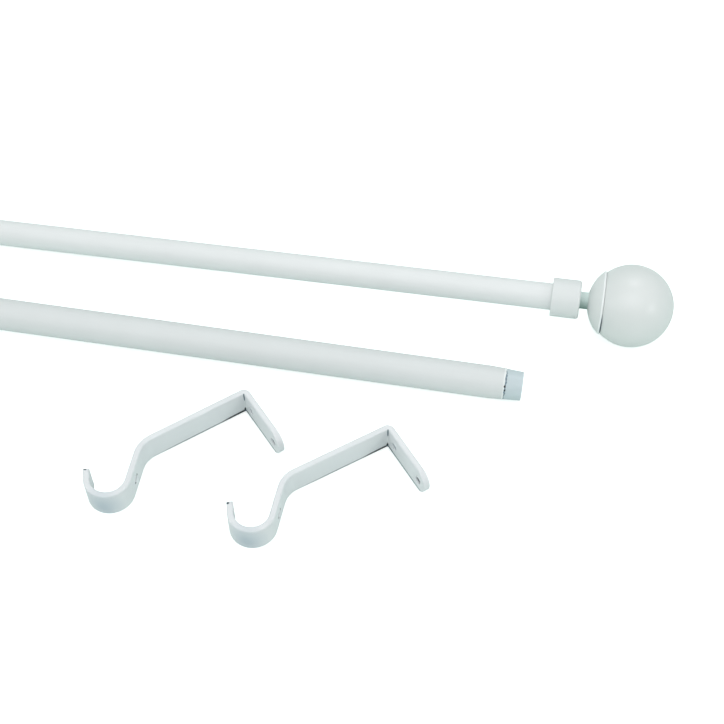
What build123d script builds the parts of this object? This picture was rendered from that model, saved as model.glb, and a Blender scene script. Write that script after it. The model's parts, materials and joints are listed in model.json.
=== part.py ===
"""An extendable curtain rod laid out on a flat surface, with its two wall brackets.

A thick centre tube takes a thinner tube at each end, through a plastic ferrule in
its mouth.  The left thin tube is slid in all the way.  The right one lies beside
the centre tube.  Each thin tube carries the same ball finial on its outer end, and
each bracket is one bent steel strip that lies on its edge.

Millimetres, +Z up.  +X runs along the centre tube towards its open right mouth.
The origin is on the surface that everything lies on, under the middle of the whole.
"""
from math import acos, asin, atan2, cos, degrees, hypot, radians, sin, sqrt, tan
import os

from build123d import *

# Centre tube
CENTRE_TUBE_RADIUS = 9.5
CENTRE_TUBE_WALL = 0.7
CENTRE_TUBE_LENGTH = 720.0
CRIMP_LENGTH = 8.0          # the last stretch of each end, rolled in to hold the ferrule
CRIMP_DEPTH = 0.4
CUT_EDGE_ROUND = 0.25       # paint rounds the sawn edge

# Thin tubes
THIN_TUBE_RADIUS = 8.0
THIN_TUBE_WALL = 0.6
THIN_TUBE_SHOWN = 350.0     # from the collar to the inner end of the tube
SLIDE_CLEARANCE = 0.08      # radial, thin tube in the ferrule

# Ferrule in each mouth of the centre tube
FERRULE_SLEEVE_LENGTH = 30.0
FERRULE_NOSE_LENGTH = 10.4
FERRULE_SHOULDER_RADIUS = 8.95
FERRULE_NOSE_WALL = 0.25
FERRULE_SEAT_GAP = 0.02
FERRULE_LEAD_IN = 0.6

# Tip plug in the inner end of each thin tube
TIP_HEAD_LENGTH = 3.0
TIP_HEAD_ROUND = 2.0
TIP_SHANK_LENGTH = 12.0
TIP_SHANK_WALL = 1.4

# Finial, measured along the rod from the middle of the ball towards the tube
BALL_RADIUS = 24.4
BALL_WALL = 2.2
BALL_SEAM_FROM_MIDDLE = 16.5
SEAM_GAP = 0.5
CAP_RADIUS = 25.5           # of its dome, a little flatter than the ball
CAP_RIM_RADIUS = 19.2      # proud of the ball at the seam
CAP_RIM_ROUND = 0.25
CAP_LIP_LENGTH = 4.5
CAP_LIP_WALL = 1.6
CAP_LIP_CLEARANCE = 0.1
BOSS_RADIUS = 6.5
NECK_RADIUS = 5.0
NECK_SHOWN = 4.6
NECK_END_SHOWN_INSIDE = 0.4
TURN_CLEARANCE = 0.05       # radial, ball on its screw and cap round the neck
FACE_CLEARANCE = 0.3        # between end faces of pieces that move on each other
COLLAR_RADIUS = 11.5
COLLAR_LENGTH = 16.8
COLLAR_FLOOR = 4.0
COLLAR_EDGE_ROUND = 0.9
COLLAR_CLEARANCE = 0.05     # radial, collar over the thin tube
SCREW_RADIUS = 3.0
SCREW_CLEARANCE = 0.05
SCREW_GRIP_IN_BALL = 22.0
SCREW_HEAD_RADIUS = 5.0
SCREW_HEAD_HEIGHT = 3.2
SCREW_HEX_RADIUS = 2.4
SCREW_HEX_DEPTH = 2.0
SHANK_LENGTH = 30.0
SHANK_CLEARANCE = 0.04      # radial, finial shank in the thin tube
SHANK_POCKET_LENGTH = 8.0
SHANK_POCKET_CLEARANCE = 0.3
SHANK_LEAD_IN = 0.8
SHANK_GROOVE_DEPTH = 0.5
SHANK_GROOVE_WIDTH = 1.6
SHANK_GROOVES = 3
SHANK_GROOVE_PITCH = 5.0

# Bracket: one strip, bent in a plane; u runs out from the wall, v runs down
STRIP_WIDTH = 17.4
STRIP_THICKNESS = 3.5
STRIP_EDGE_ROUND = 1.0
FLANGE_LENGTH = 42.1
FLANGE_END_RADIUS = 8.4
SCREW_HOLE_RADIUS = 2.4
SCREW_HOLE_DROP = 10.3       # top of the arm to the upper hole
SCREW_HOLE_END_GAP = 6.5     # lower hole to the flange's end
CORNER_RADIUS = 2.4         # middle of the strip, between flange and arm
KNEE_RADIUS = 15.0          # middle of the strip, between arm and slope
SLOPE_ANGLE = 48.3
HOOK_REACH = 92.4           # wall to the middle of the rod
HOOK_DROP = 12.5            # top of the arm to the middle of the rod
HOOK_CLEARANCE = 0.1        # radial, rod in the hook
HOOK_LEAN = 24.0            # the outer side leans in by this angle
TIP_DROP = 0.3
TIP_CORNER_RADIUS = 3.6
TIP_NOSE_ROUND = 1.4        # over the thickness, at the hook's tip
CLAMP_HOLE_RADIUS = 2.1
CLAMP_HOLE_BACK = 6.2       # up the slope from where the hook's round starts

# How the pieces lie, measured from the right end of the centre tube
LOOSE_BALL_PLACE = (68.6, 57.6)
LOOSE_ROD_YAW = -1.88
BRACKET_CORNERS = ((-144.1, -31.3), (-59.9, -42.7))
BRACKET_TURNS = (-138.4, -141.0)
RETRACTED_GAP = 0.5         # collar to ferrule nose with the rod slid right in

# Fits that follow from the sizes above
centre_bore = CENTRE_TUBE_RADIUS - CENTRE_TUBE_WALL
thin_bore = THIN_TUBE_RADIUS - THIN_TUBE_WALL
ferrule_bore = THIN_TUBE_RADIUS + SLIDE_CLEARANCE
shank_radius = thin_bore - SHANK_CLEARANCE
screw_hole = SCREW_RADIUS + SCREW_CLEARANCE
cap_seam = -(BALL_SEAM_FROM_MIDDLE + SEAM_GAP)
cap_middle = cap_seam + sqrt(CAP_RADIUS**2 - CAP_RIM_RADIUS**2)
cap_hole = NECK_RADIUS + TURN_CLEARANCE
cap_hole_end = cap_middle - sqrt(CAP_RADIUS**2 - cap_hole**2)
collar_face = cap_hole_end - NECK_SHOWN
collar_mouth = collar_face - COLLAR_LENGTH
thin_tube_end = collar_face - COLLAR_FLOOR
thin_tube_tip = collar_mouth - THIN_TUBE_SHOWN
rod_end = thin_tube_tip - TIP_HEAD_LENGTH
cap_inside_end = cap_middle - sqrt((CAP_RADIUS - BALL_WALL) ** 2 - cap_hole**2)
neck_end = cap_inside_end + NECK_END_SHOWN_INSIDE
boss_end = neck_end + FACE_CLEARANCE
screw_tip = boss_end + SCREW_GRIP_IN_BALL
shank_end = thin_tube_end - SHANK_LENGTH
screw_seat = shank_end + SHANK_POCKET_LENGTH


def turned(outline):
    """A solid of revolution about X from a closed outline in (x, radius)."""
    return revolve(make_face(outline), Axis.X)


def ring(points):
    """A turned solid whose outline is straight runs between the points."""
    return turned(Polyline(*points, close=True))


def ball_arc(middle, radius, start, end):
    """The arc of a circle centred on the axis, from one station along it to another."""
    first = acos((start - middle) / radius)
    last = acos((end - middle) / radius)
    spots = []
    for angle in (first, (first + last) / 2, last):
        spots.append((middle + radius * cos(angle), radius * sin(angle)))
    return ThreePointArc(*spots)


def edges_near(solid, station, radius, reach=0.05):
    """The round edges of a turned solid at one station along X and one radius."""
    found = []
    for edge in solid.edges().filter_by(GeomType.CIRCLE):
        centre = edge.arc_center
        if abs(centre.X - station) < reach and abs(edge.radius - radius) < reach:
            found.append(edge)
    return found


def centre_tube():
    """A steel tube from -length to 0, with both ends rolled in a little."""
    outer = CENTRE_TUBE_RADIUS
    left = -CENTRE_TUBE_LENGTH
    tube = ring([
        (left, outer - CRIMP_DEPTH),
        (left + CRIMP_LENGTH, outer),
        (-CRIMP_LENGTH, outer),
        (0, outer - CRIMP_DEPTH),
        (0, centre_bore - CRIMP_DEPTH),
        (-CRIMP_LENGTH, centre_bore),
        (left + CRIMP_LENGTH, centre_bore),
        (left, centre_bore - CRIMP_DEPTH),
    ])
    rims = edges_near(tube, 0, outer - CRIMP_DEPTH) + edges_near(tube, left, outer - CRIMP_DEPTH)
    return fillet(rims, CUT_EDGE_ROUND)


def ferrule():
    """A plastic sleeve for the mouth at x = 0, with its tapered nose outside."""
    seat = centre_bore - FERRULE_SEAT_GAP
    waist = seat - CRIMP_DEPTH
    return ring([
        (-FERRULE_SLEEVE_LENGTH, ferrule_bore),
        (-FERRULE_SLEEVE_LENGTH, seat - FERRULE_LEAD_IN / 2),
        (-FERRULE_SLEEVE_LENGTH + FERRULE_LEAD_IN, seat),
        (-CRIMP_LENGTH, seat),
        (0, waist),
        (0, FERRULE_SHOULDER_RADIUS),
        (FERRULE_NOSE_LENGTH, ferrule_bore + FERRULE_NOSE_WALL),
        (FERRULE_NOSE_LENGTH, ferrule_bore + FERRULE_NOSE_WALL / 2),
        (FERRULE_NOSE_LENGTH - FERRULE_LEAD_IN, ferrule_bore),
    ])


def thin_tube():
    """A steel tube from its inner end to the floor of the collar."""
    return ring([
        (thin_tube_tip, THIN_TUBE_RADIUS),
        (thin_tube_end, THIN_TUBE_RADIUS),
        (thin_tube_end, thin_bore),
        (thin_tube_tip, thin_bore),
    ])


def tip_plug():
    """A plastic plug in the thin tube's inner end, with a rounded head to lead it in."""
    shank_stop = thin_tube_tip + TIP_SHANK_LENGTH
    core = shank_radius - TIP_SHANK_WALL
    plug = ring([
        (rod_end, 0),
        (rod_end, THIN_TUBE_RADIUS),
        (thin_tube_tip, THIN_TUBE_RADIUS),
        (thin_tube_tip, shank_radius),
        (shank_stop, shank_radius),
        (shank_stop, core),
        (thin_tube_tip, core),
        (thin_tube_tip, 0),
    ])
    return fillet(edges_near(plug, rod_end, THIN_TUBE_RADIUS), TIP_HEAD_ROUND)


def collar():
    """A cup over the thin tube's outer end, with a hole in its floor for the screw."""
    bore = THIN_TUBE_RADIUS + COLLAR_CLEARANCE
    cup = ring([
        (collar_mouth, bore),
        (collar_mouth, COLLAR_RADIUS),
        (collar_face, COLLAR_RADIUS),
        (collar_face, screw_hole),
        (thin_tube_end, screw_hole),
        (thin_tube_end, bore),
    ])
    rims = edges_near(cup, collar_mouth, COLLAR_RADIUS) + edges_near(cup, collar_face, COLLAR_RADIUS)
    return fillet(rims, COLLAR_EDGE_ROUND)


def finial_shank():
    """A plastic shank inside the thin tube, grooved, with a pocket for the screw's head."""
    pocket = SCREW_HEAD_RADIUS + SHANK_POCKET_CLEARANCE
    shank = ring([
        (shank_end, pocket),
        (shank_end, shank_radius - SHANK_LEAD_IN),
        (shank_end + SHANK_LEAD_IN, shank_radius),
        (thin_tube_end, shank_radius),
        (thin_tube_end, screw_hole),
        (screw_seat, screw_hole),
        (screw_seat, pocket),
    ])
    for number in range(SHANK_GROOVES):
        start = thin_tube_end - (number + 1) * SHANK_GROOVE_PITCH
        shank -= ring([
            (start, shank_radius - SHANK_GROOVE_DEPTH),
            (start, shank_radius + SHANK_GROOVE_DEPTH),
            (start + SHANK_GROOVE_WIDTH, shank_radius + SHANK_GROOVE_DEPTH),
            (start + SHANK_GROOVE_WIDTH, shank_radius - SHANK_GROOVE_DEPTH),
        ])
    return shank


def finial_screw():
    """A steel screw from the shank's pocket through collar and neck into the ball."""
    screw = ring([
        (screw_seat - SCREW_HEAD_HEIGHT, 0),
        (screw_seat - SCREW_HEAD_HEIGHT, SCREW_HEAD_RADIUS),
        (screw_seat, SCREW_HEAD_RADIUS),
        (screw_seat, SCREW_RADIUS),
        (screw_tip, SCREW_RADIUS),
        (screw_tip, 0),
    ])
    head = Plane(origin=(screw_seat - SCREW_HEAD_HEIGHT, 0, 0), z_dir=(1, 0, 0))
    return screw - extrude(head * RegularPolygon(SCREW_HEX_RADIUS, 6), SCREW_HEX_DEPTH)


def neck():
    """The sleeve between collar and base cap."""
    return ring([
        (collar_face, screw_hole),
        (collar_face, NECK_RADIUS),
        (neck_end, NECK_RADIUS),
        (neck_end, screw_hole),
    ])


def base_cap():
    """The dome that closes the ball at the tube's side, with a lip into the ball."""
    inside = CAP_RADIUS - BALL_WALL
    ball_mouth = sqrt((BALL_RADIUS - BALL_WALL) ** 2 - BALL_SEAM_FROM_MIDDLE**2)
    lip_outer = ball_mouth - CAP_LIP_CLEARANCE
    lip_inner = lip_outer - CAP_LIP_WALL
    lip_end = cap_seam + CAP_LIP_LENGTH
    lip_root = cap_middle - sqrt(inside**2 - lip_inner**2)
    shell = turned([
        ball_arc(cap_middle, CAP_RADIUS, cap_seam, cap_hole_end),
        Line((cap_hole_end, cap_hole), (cap_inside_end, cap_hole)),
        ball_arc(cap_middle, inside, cap_inside_end, lip_root),
        Polyline(
            (lip_root, lip_inner),
            (lip_end, lip_inner),
            (lip_end, lip_outer),
            (cap_seam, lip_outer),
            (cap_seam, CAP_RIM_RADIUS),
        ),
    ])
    return fillet(edges_near(shell, cap_seam, CAP_RIM_RADIUS), CAP_RIM_ROUND)


def ball():
    """A hollow ball, open at the seam, with a bored boss from its far side."""
    inside = BALL_RADIUS - BALL_WALL
    rim_inner = sqrt(inside**2 - BALL_SEAM_FROM_MIDDLE**2)
    rim_outer = sqrt(BALL_RADIUS**2 - BALL_SEAM_FROM_MIDDLE**2)
    bore = SCREW_RADIUS + TURN_CLEARANCE
    bore_end = screw_tip + FACE_CLEARANCE
    boss_root = sqrt(inside**2 - BOSS_RADIUS**2)
    return turned([
        ball_arc(0, BALL_RADIUS, -BALL_SEAM_FROM_MIDDLE, BALL_RADIUS),
        Polyline(
            (BALL_RADIUS, 0),
            (bore_end, 0),
            (bore_end, bore),
            (boss_end, bore),
            (boss_end, BOSS_RADIUS),
            (boss_root, BOSS_RADIUS),
        ),
        ball_arc(0, inside, boss_root, -BALL_SEAM_FROM_MIDDLE),
        Line((-BALL_SEAM_FROM_MIDDLE, rim_inner), (-BALL_SEAM_FROM_MIDDLE, rim_outer)),
    ])


def strip_path():
    """The middle line of the bracket's strip, from the flange's end to the hook's tip."""
    half = STRIP_THICKNESS / 2
    slope = radians(SLOPE_ANGLE)
    lean = radians(HOOK_LEAN)
    bend = CENTRE_TUBE_RADIUS + HOOK_CLEARANCE + half

    def hook_spot(angle):
        return (HOOK_REACH + bend * cos(angle), HOOK_DROP + bend * sin(angle))

    hook_start = hook_spot(radians(90) + slope)
    hook_end = hook_spot(-lean)
    knee = (hook_start[0] - (hook_start[1] - half) / tan(slope), half)
    rise = hook_end[1] - TIP_DROP
    tip = (hook_end[0] - rise * tan(lean), TIP_DROP)
    straight = FilletPolyline(
        (half, FLANGE_LENGTH),
        (half, half),
        knee,
        hook_start,
        radius=[CORNER_RADIUS, KNEE_RADIUS],
    )
    hook = ThreePointArc(hook_start, hook_spot((radians(90) + slope - lean) / 2), hook_end)
    return Wire([*straight.edges(), *hook.edges(), *Line(hook_end, tip).edges()])


def end_waste(width, depth, corner_radius):
    """What is cut off a strip's end to round its corners; the strip ends at x = 0."""
    reach = 2 * corner_radius
    strip = Pos(-reach, 0) * Rectangle(2 * reach, width)
    corners = strip.vertices().sort_by(Axis.X)[-2:]
    around = Rectangle(2 * corner_radius, 2 * width)
    return extrude(around - fillet(corners, corner_radius), depth, both=True)


def hole_along(spot, direction, radius):
    """A round cutter through the strip at one spot of its middle line."""
    plane = Plane(origin=(spot[0], spot[1], 0), z_dir=(direction[0], direction[1], 0))
    return extrude(plane * Circle(radius), STRIP_THICKNESS, both=True)


def bracket():
    """One bent strip with two screw holes, an open hook and a clamp-screw hole."""
    half = STRIP_THICKNESS / 2
    slope = radians(SLOPE_ANGLE)
    path = strip_path()
    start = Plane(origin=path @ 0, x_dir=(1, 0, 0), z_dir=path % 0)
    section = start * RectangleRounded(STRIP_THICKNESS, STRIP_WIDTH, STRIP_EDGE_ROUND)
    strip = sweep(section, path=path)

    flange_end = Plane(origin=path @ 0, x_dir=-(path % 0), z_dir=(1, 0, 0))
    tip_end = Plane(origin=path @ 1, x_dir=path % 1, z_dir=(path % 1).cross(Vector(0, 0, 1)))
    tip_in_plan = Plane(origin=path @ 1, x_dir=path % 1, z_dir=(0, 0, 1))
    nose = min(TIP_NOSE_ROUND, 0.45 * STRIP_THICKNESS)
    strip -= flange_end * end_waste(STRIP_WIDTH, STRIP_THICKNESS, FLANGE_END_RADIUS)
    strip -= tip_end * end_waste(STRIP_WIDTH, STRIP_THICKNESS, TIP_CORNER_RADIUS)
    strip -= tip_in_plan * end_waste(STRIP_THICKNESS, STRIP_WIDTH, nose)

    for drop in (SCREW_HOLE_DROP, FLANGE_LENGTH - SCREW_HOLE_END_GAP):
        strip -= hole_along((half, drop), (1, 0), SCREW_HOLE_RADIUS)
    bend = CENTRE_TUBE_RADIUS + HOOK_CLEARANCE + half
    across = (-sin(slope), cos(slope))
    clamp = (
        HOOK_REACH + bend * across[0] - CLAMP_HOLE_BACK * cos(slope),
        HOOK_DROP + bend * across[1] - CLAMP_HOLE_BACK * sin(slope),
    )
    strip -= hole_along(clamp, across, CLAMP_HOLE_RADIUS)
    return Pos(0, 0, STRIP_WIDTH / 2) * strip


def lying_tilt(tube_radius, distance):
    """The tilt of a rod that lies on the ball at one end and on its tube at the other."""
    slant = hypot(tube_radius, distance)
    return asin(BALL_RADIUS / slant) - atan2(tube_radius, distance)


def thin_rod_pieces(side):
    """The pieces of one thin rod with its finial, the ball's middle at the origin."""
    return {
        side + "_thin_tube": thin_tube(),
        side + "_tip_plug": tip_plug(),
        side + "_finial_shank": finial_shank(),
        side + "_finial_screw": finial_screw(),
        side + "_collar": collar(),
        side + "_neck": neck(),
        side + "_base_cap": base_cap(),
        side + "_ball": ball(),
    }


def centre_rod_place():
    """The centre tube's place: right end on the surface, raised at the left by the ball."""
    left_ball = CENTRE_TUBE_LENGTH + FERRULE_NOSE_LENGTH + RETRACTED_GAP - collar_mouth
    tilt = lying_tilt(CENTRE_TUBE_RADIUS, left_ball - CRIMP_LENGTH)
    height = CENTRE_TUBE_RADIUS * cos(tilt) - CRIMP_LENGTH * sin(tilt)
    return Pos(0, 0, height) * Rot(0, degrees(tilt), 0), left_ball


def loose_rod_place():
    """The loose rod's place: its ball and its inner end's plug touch the surface."""
    tilt = lying_tilt(THIN_TUBE_RADIUS, -rod_end - TIP_HEAD_ROUND)
    x, y = LOOSE_BALL_PLACE
    return Pos(x, y, BALL_RADIUS) * Rot(0, 0, LOOSE_ROD_YAW) * Rot(0, -degrees(tilt), 0)


def all_pieces():
    """Every piece by name, where it lies, before the whole is moved to the origin."""
    pieces = {}
    centre_place, left_ball = centre_rod_place()
    pieces["centre_tube"] = centre_place * centre_tube()
    pieces["right_ferrule"] = centre_place * ferrule()
    left_mouth = Pos(-CENTRE_TUBE_LENGTH, 0, 0) * Rot(0, 0, 180)
    pieces["left_ferrule"] = centre_place * left_mouth * ferrule()
    left_place = centre_place * Pos(-left_ball, 0, 0) * Rot(0, 0, 180)
    for name, solid in thin_rod_pieces("left").items():
        pieces[name] = left_place * solid
    right_place = loose_rod_place()
    for name, solid in thin_rod_pieces("right").items():
        pieces[name] = right_place * solid
    corners = zip(("bracket_1", "bracket_2"), BRACKET_CORNERS, BRACKET_TURNS)
    for name, corner, turn in corners:
        pieces[name] = Pos(*corner, 0) * Rot(0, 0, turn) * bracket()
    return pieces


def main():
    pieces = all_pieces()
    box = Compound(list(pieces.values())).bounding_box()
    home = Pos(-box.center().X, -box.center().Y, -box.min.Z)
    os.makedirs("parts", exist_ok=True)
    for name, solid in pieces.items():
        export_step(home * solid, f"parts/{name}.step")


main()
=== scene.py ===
import json
from math import acos, radians, sqrt

import bmesh
import bpy
import numpy as np
from mathutils import Matrix, Vector


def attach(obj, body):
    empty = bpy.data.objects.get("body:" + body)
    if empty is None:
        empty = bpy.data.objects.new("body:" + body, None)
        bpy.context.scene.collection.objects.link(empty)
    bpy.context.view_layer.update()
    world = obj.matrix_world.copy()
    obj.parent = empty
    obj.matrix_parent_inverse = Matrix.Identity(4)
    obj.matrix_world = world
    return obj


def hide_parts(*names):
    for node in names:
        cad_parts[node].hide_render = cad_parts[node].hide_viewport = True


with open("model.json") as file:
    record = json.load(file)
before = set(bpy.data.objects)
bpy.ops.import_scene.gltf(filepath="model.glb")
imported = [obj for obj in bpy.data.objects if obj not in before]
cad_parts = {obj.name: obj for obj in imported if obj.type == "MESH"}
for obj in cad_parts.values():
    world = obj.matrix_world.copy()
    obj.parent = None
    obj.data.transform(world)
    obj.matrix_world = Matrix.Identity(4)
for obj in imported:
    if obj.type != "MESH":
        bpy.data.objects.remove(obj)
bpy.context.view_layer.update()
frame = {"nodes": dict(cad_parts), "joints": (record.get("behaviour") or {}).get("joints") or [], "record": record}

MM = 0.001

# Camera, in metres and pixels
PHOTO_WIDTH = 724
FOCAL_PIXELS = 1250
SENSOR_WIDTH = 36
CAMERA_PLACE = (0.3424, -0.4197, 0.5840)
CAMERA_LOOKS_AT = (0.2701, 0.0308, 0.0)

# Light and floor, in metres and watts
KEY_DIRECTION = (0.00, -0.40, 0.917)        # where the sky of the studio is brightest
SKY_DIM = 0.36
SKY_BRIGHT = 0.875
SKY_DIM_COLOUR = (0.72, 1.0, 0.94)
SKY_BRIGHT_COLOUR = (1.0, 0.985, 1.0)
DARK_SIDE = (0.0, -0.98, 0.20)              # where the studio is open, behind the camera
DARK_SIDE_DEPTH = 0.33
DARK_SIDE_FALLOFF = 3.0
SOFTBOXES = (     # name, place, spot it points at, size, power
    ("overhead", (0.40, 0.78, 1.45), (0.40, 0.03, 0), (0.5, 0.35), 2.5),
    ("right", (1.45, -0.50, 0.66), (0.3, 0.03, 0), (0.15, 0.15), 1.6),
    ("left", (-2.00, -0.80, 1.00), (0.3, 0.03, 0), (1.0, 1.0), 5.0),
    ("front", (0.25, -0.38, 0.90), (0.25, 0.03, 0), (1.0, 0.6), 2.3),
)
WHITE = (1, 1, 1)
FLOOR_HALF = 3.0
FLOOR_COLOUR = (0.75, 0.85, 0.82)
FLOOR_ROUGHNESS = 0.9
FLOOR_GLOW = 0.6

# Colours, linear
THIN_TUBE_PAINT = (0.785, 0.810, 0.810)
CENTRE_TUBE_PAINT = (0.700, 0.728, 0.728)
BRACKET_PAINT = (0.752, 0.775, 0.790)
PLASTIC_PAINT = (0.745, 0.775, 0.765)
BALL_PAINT = (0.725, 0.755, 0.745)
COLLAR_PAINT = (0.735, 0.765, 0.762)
# The neck's paint is greener than the collar's: the green of the shade round the neck, painted into its colour.
# NECK_SHADOW is a painted shadow on its lower front.
NECK_PAINT = (0.690, 0.800, 0.775)
NECK_SHADOW = (0.230, 0.350, 0.315)
FERRULE_PLASTIC = (0.550, 0.635, 0.665)
INNER_PLASTIC = (0.700, 0.715, 0.690)
ZINC = (0.560, 0.575, 0.590)
BARE_STEEL = (0.060, 0.085, 0.110)
PIT = (0.012, 0.016, 0.020)
GAP_DARK = (0.170, 0.230, 0.270)
# Painted shade, dark: the lower part of the cap's seam, the crease at the top of the brackets' inner corner, and
# the flanges' lower edges by the corner
DARK_PAINTED_SHADE = (0.110, 0.160, 0.200)
# Painted shade on the screw holes' walls, lighter in the hole by the bend, nearly black in the one by the end
HOLE_WALLS = ((0.420, 0.500, 0.530), (0.025, 0.060, 0.080))     # by the bend, by the end
# Painted shade along the arms' lower edges, where they lie on the floor
LOWER_EDGE = (0.110, 0.150, 0.160)
# Painted shade, darkest: the foot of the brackets' inner corner, the arms' lower edges by the corner, and spots by
# the clamp holes
DEEP_PAINTED_SHADE = (0.014, 0.024, 0.026)
# Painted shade along the flanges' lower edges, where they lie on the floor
FLANGE_EDGE = (0.240, 0.300, 0.320)
# Painted shade on the front of the hooks' bowls
BOWL_SHADE = (0.520, 0.590, 0.640)
LIP_PAINT = (0.800, 0.830, 0.830)
# Painted highlight along the cap's rim
RIM_SHINE = (0.900, 0.930, 0.930)

# Paint film; scales of noise here and below are in patches per mm
PAINT_ROUGHNESS = 0.42
PAINT_GLOSS = 0.30
BALL_ROUGHNESS = 0.36
BALL_GLOSS = 0.75
PATCH_SCALE = 0.055
STREAK_SCALE = 0.8
STREAK_STRETCH = (0.03, 1, 1)
PEEL_SCALE = 1.1
FINE_SCALE = 4.5
DUST_SCALE = 1.9
DUST_LEVEL = 0.76           # a nib of dust stands where its noise is above this
DUST_STEEPNESS = 14.0
NIB_SHADE = 0.03
FINE_ROUGHNESS = 0.12
PATCH_ROUGHNESS = 0.15
FINE_HEIGHT = 0.25
NIB_HEIGHT = 0.8
PAINT_RELIEF = 0.02         # mm

# Edges, worn smoother and lightened as a painted highlight, and ragged spots of wear and of painted light and
# shade
EDGE_SAMPLES = 6
EDGE_STEEPNESS = 6.0
EDGE_POLISH = -0.06         # what a worn edge adds to the roughness
WEAR_SCALE = 0.7
WEAR_CONTRAST = 3.0
WEAR_SHARE = 0.6
SPOT_SCALE = 1.6
SPOT_ROUGHNESS = 0.15

# Moulded plastic
FLOW_SCALE = 0.12
FLOW_STRETCH = (0.4, 1, 1)
GRAIN_SCALE = 3.2
GRAIN_ROUGHNESS = 0.15
MOULDED_EDGE_WIDTH = 0.5    # mm
MOULDED_EDGE_BREAKUP = 0.3
MOULDED_EDGE_SHARE = 0.6
PARTING_HALF_WIDTH = 0.18   # mm
PARTING_HEIGHT = 1.5
MOULDED_RELIEF = 0.02       # mm

# Zinc plate, and the dark band in the gap at the mouths
CLOUD_SCALE = 0.5
TURNING_SCALE = 5.0
TURNING_STRETCH = (1, 0.1, 0.1)
ZINC_ROUGHNESS = 0.22
CLOUD_ROUGHNESS = 0.25
ZINC_RELIEF = 0.03          # mm
GAP_PATCH_SCALE = 0.9
GAP_PATCH_CONTRAST = 2.2
GAP_PATCH_ROUGHNESS = 0.3
GAP_PATCH_RELIEF = 0.05         # mm

# Sizes of the finial, in mm along the rod from the ball's middle
BALL_RADIUS = 24.4
BALL_WALL = 2.2
BALL_SEAM = -16.5
BALL_RIM_ROUND = 0.35
CAP_SEAM = -17.0
CAP_RADIUS = 25.5
CAP_RIM_RADIUS = 19.2
CAP_RIM_BEAD = 1.45         # how far the rim's bead is rounded
CAP_BEAD_START = 2.8        # from the seam back to where the bead leaves the dome
CAP_BEAD_RISE = 0.35        # what its corner stands out past the rim
CAP_RIM_GAP = 0.04
CAP_HOLE = 5.05
CAP_LIP_END = -12.5
CAP_LIP_OUTER = 14.75
CAP_LIP_INNER = 13.15
CAP_LIP_ROUND = 0.3
BOSS_RADIUS = 6.5
BOSS_END = -22.38
BOSS_BORE = 3.05
BOSS_BORE_END = -0.08
NECK_RADIUS = 5.0
NECK_END = -22.68
NECK_BORE = 3.05
NECK_FOOT = 0.02            # off the collar's face
COVE_RISE = 0.7
COVE_CORNER = 0.08
COVE_END = 1.6
COVE_ROUND = 0.7
COLLAR_FACE = -29.93
COLLAR_MOUTH = -46.73
COLLAR_FLOOR = -33.93
COLLAR_RADIUS = 11.5
COLLAR_BORE = 8.05
COLLAR_FACE_ROUND = 1.9
COLLAR_MOUTH_ROUND = 0.7

# Sizes of the centre tube's mouths, in mm
TUBE_LENGTH = 720.0
TUBE_MOUTH_RADIUS = 9.1
TUBE_RADIUS = 9.5
TUBE_CRIMP = 8.0
FERRULE_SHOULDER = 8.95
FERRULE_TIP = 8.33
FERRULE_NOSE = 10.4
SEAT_DEPTH = 10.0

# The paint's ragged lip over the tube's sawn end, in mm along the tube from its end
LIP_START = -0.6
LIP_END = 0.10
LIP_WOBBLE = 0.20
LIP_WAVES = (2, 3, 5, 8, 13, 21, 34, 55)
LIP_FILM = 0.06
LIP_LUMP = 0.06
LIP_LUMP_WOBBLE = 0.5
LIP_LUMP_WAVES = (7, 11, 17, 29)
LIP_CURL_LENGTH = 0.22
LIP_CURL_DEPTH = 0.42
LIP_BACK_DEPTH = 0.30
LIP_BACK_STEP = 0.15
LIP_ROOT_DEPTH = 0.03
LIP_ROWS = 14
CURL_ROWS = 6

# The dark line between paint and ferrule, in mm along the tube from its end
GAP_NEAR = -0.05
GAP_FAR = 1.05
GAP_WOBBLE = 0.24
GAP_WAVES = (3, 5, 9, 15, 26)
GAP_SUNK = -0.12
GAP_EDGE = 0.03
GAP_CROWN = 0.05
GAP_SHOULDER = 0.05

# Sizes of the brackets, in mm
STRIP_WIDTH = 17.4
STRIP_THICKNESS = 3.5
FLANGE_LENGTH = 42.1
ARM_LENGTH = 66.0
SCREW_DROPS = (10.3, 35.6)
SCREW_HOLE_RADIUS = 2.4
CLAMP_HOLE_RADIUS = 2.1
TIP_CHIPS = {1: (100.5, 1.6), 2: (101.2, 2.1)}     # out from the wall, down it
# Spots of painted shade above and below the clamp hole, for the shade inside it
CLAMP_HOLE_SHADE_SPOTS = ((79.65, 17.8, -1.2), (77.35, 15.4, 1.2))
BOWL_FRONT = (101.1, 22.3)

# The bead of paint round a hole, in mm
BEAD_HEIGHT = 0.13
BEAD_MIDDLE = 0.34
BEAD_HALF_WIDTH = 0.30
BEAD_FOOT = -0.08
BEAD_FOOT_EDGES = (0.06, 0.62)
BEAD_ROWS = 9
BEAD_STEPS = 64
BEAD_SHARP_ANGLE = 60

LATHE_STEPS = 160
SHARP_ANGLE = 35
MERGE_DISTANCE = 1e-6


def placed_frame(origin, along):
    """A frame of unit arrows: along, then level across it, then the one that points up."""
    along = np.array(along) / np.linalg.norm(along)
    across = np.cross((0.0, 0.0, 1.0), along)
    across = across / np.linalg.norm(across)
    return np.array(origin), along, across, np.cross(along, across)


def in_place(spots, place):
    """Spots in mm in a frame become metres: origin + x along + y across + z up."""
    origin, along, across, up = place
    spots = np.asarray(spots, float) * MM
    return origin + spots[..., :1] * along + spots[..., 1:2] * across + spots[..., 2:3] * up


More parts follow.
